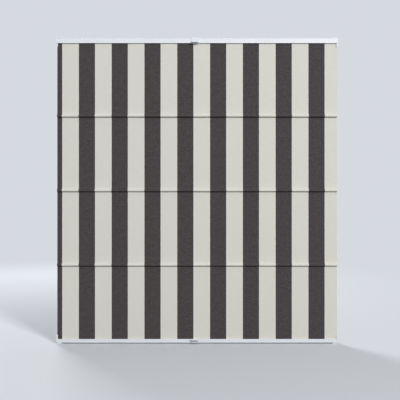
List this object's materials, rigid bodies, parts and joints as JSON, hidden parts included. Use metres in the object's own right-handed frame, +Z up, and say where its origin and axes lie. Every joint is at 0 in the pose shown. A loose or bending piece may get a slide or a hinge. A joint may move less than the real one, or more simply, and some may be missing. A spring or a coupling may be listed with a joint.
{
  "type": "roman blind",
  "caption": "Striped roman blind on two guide cords: fixed top rail, folds held by cord-guided ribs, and a bottom rail that slides up and stays where it is put.",
  "frame": {"origin": "middle of the line between the two top feet's screw holes, in the plane the top feet press against", "axes": "+X along the blind to the viewer's right, +Y to the back, +Z up"},
  "size_m": [1.0066, 0.0336, 1.0936],
  "materials": {
    "rail_white": "white powder coat, satin",
    "plastic_white": "moulded white, satin",
    "strip_grey": "extruded grey",
    "spring_steel": "drawn wire",
    "ferrule_metal": "crimped",
    "brake_rubber": "moulded",
    "rib_aluminium": "drawn tube",
    "cord_white": "braided",
    "pocket_tape": "woven tape",
    "cloth_light": "woven, pale stripe",
    "cloth_dark": "woven, dark stripe"
  },
  "bodies": {
    "root": {"top_rail": "rail_white", "top_cloth_strip": "strip_grey", "middle_clip": "plastic_white", "cloth_light_stripes": "cloth_light", "cloth_dark_stripes": "cloth_dark", "top_rail_cap_left": "plastic_white", "top_rail_cap_right": "plastic_white", "foot_top_left": "plastic_white", "foot_top_right": "plastic_white", "foot_bottom_left": "plastic_white", "foot_bottom_right": "plastic_white", "guide_cord_left": "cord_white", "guide_cord_right": "cord_white", "cord_spring_left": "spring_steel", "cord_spring_right": "spring_steel", "cord_ferrule_top_left": "ferrule_metal", "cord_ferrule_top_right": "ferrule_metal", "cord_ferrule_bottom_left": "ferrule_metal", "cord_ferrule_bottom_right": "ferrule_metal"},
    "rib_1": {"rib_tube_1": "rib_aluminium", "rib_pocket_1": "pocket_tape", "rib_cap_left_1": "plastic_white", "rib_cap_right_1": "plastic_white"},
    "rib_2": {"rib_tube_2": "rib_aluminium", "rib_pocket_2": "pocket_tape", "rib_cap_left_2": "plastic_white", "rib_cap_right_2": "plastic_white"},
    "rib_3": {"rib_tube_3": "rib_aluminium", "rib_pocket_3": "pocket_tape", "rib_cap_left_3": "plastic_white", "rib_cap_right_3": "plastic_white"},
    "bottom_rail_set": {"bottom_rail": "rail_white", "bottom_cloth_strip": "strip_grey", "bottom_grip": "plastic_white", "bottom_rail_cap_left": "plastic_white", "bottom_rail_cap_right": "plastic_white", "cord_brake_left": "brake_rubber", "cord_brake_right": "brake_rubber"}
  },
  "joints": [
    {"name": "bottom_rail_slide", "type": "slide", "parent": "root", "child": "bottom_rail_set", "axis": [0, 0, 1], "range_m": [0, 0.9], "deforming": ["cloth_light_stripes", "cloth_dark_stripes"]},
    {"name": "rib_1_slide", "type": "slide", "parent": "root", "child": "rib_1", "axis": [0, 0, 1], "range_m": [0, 0.225]},
    {"name": "rib_2_slide", "type": "slide", "parent": "root", "child": "rib_2", "axis": [0, 0, 1], "range_m": [0, 0.45]},
    {"name": "rib_3_slide", "type": "slide", "parent": "root", "child": "rib_3", "axis": [0, 0, 1], "range_m": [0, 0.675]}
  ],
  "couplings": [
    {"joint": "rib_1_slide", "follows": "bottom_rail_slide", "ratio": 0.25},
    {"joint": "rib_2_slide", "follows": "bottom_rail_slide", "ratio": 0.5},
    {"joint": "rib_3_slide", "follows": "bottom_rail_slide", "ratio": 0.75}
  ]
}
